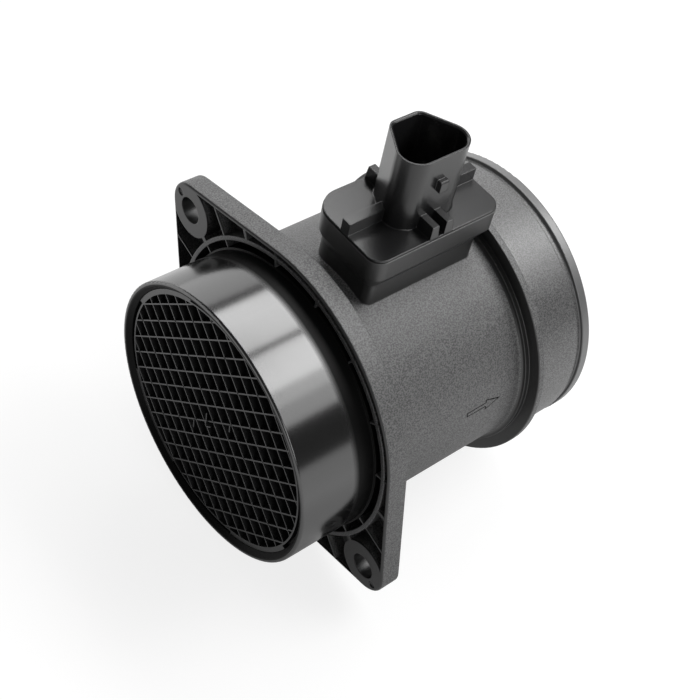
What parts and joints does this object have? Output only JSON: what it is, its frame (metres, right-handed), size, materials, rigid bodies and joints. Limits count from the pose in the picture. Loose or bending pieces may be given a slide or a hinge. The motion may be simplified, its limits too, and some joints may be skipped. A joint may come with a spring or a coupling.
{
  "type": "mass airflow sensor",
  "caption": "Tubular air duct section with a bolted flange, an inlet grid, a sensing arm inside and a plug socket on top; measures the air drawn into an engine.",
  "frame": {"origin": "centre of the duct at the flange's front face", "axes": "+X along the duct from inlet to outlet, +Z out of the plug socket, Y across the duct"},
  "size_m": [0.1026, 0.1076, 0.1235],
  "materials": {
    "duct_plastic": "fine moulded grain",
    "grid_plastic": "smooth moulded",
    "sensor_plastic": "smooth moulded",
    "cover_plastic": "smooth moulded",
    "seal_rubber": "soft",
    "base_metal": "rolled",
    "board_ceramic": "fired",
    "holder_metal": "stamped",
    "chip_silicon": "polished",
    "package_plastic": "moulded",
    "capacitor_ceramic": "fired",
    "resistor_ceramic": "coated",
    "thermistor_glass": "sealed bead",
    "lead_metal": "tinned",
    "terminal_metal": "tinned"
  },
  "bodies": {
    "root": {"tube_housing": "duct_plastic", "inlet_grid": "grid_plastic", "sensor_body": "sensor_plastic", "body_seal": "seal_rubber", "board_cover": "cover_plastic", "bypass_cover": "cover_plastic", "base_plate": "base_metal", "circuit_board": "board_ceramic", "chip_holder": "holder_metal", "sensor_chip": "chip_silicon", "signal_ic": "package_plastic", "regulator_ic": "package_plastic", "capacitor_1": "capacitor_ceramic", "capacitor_2": "capacitor_ceramic", "capacitor_3": "capacitor_ceramic", "resistor_1": "resistor_ceramic", "resistor_2": "resistor_ceramic", "thermistor": "thermistor_glass", "thermistor_lead_1": "lead_metal", "thermistor_lead_2": "lead_metal", "terminal_1": "terminal_metal", "terminal_2": "terminal_metal", "terminal_3": "terminal_metal", "terminal_4": "terminal_metal", "terminal_5": "terminal_metal"}
  },
  "joints": []
}
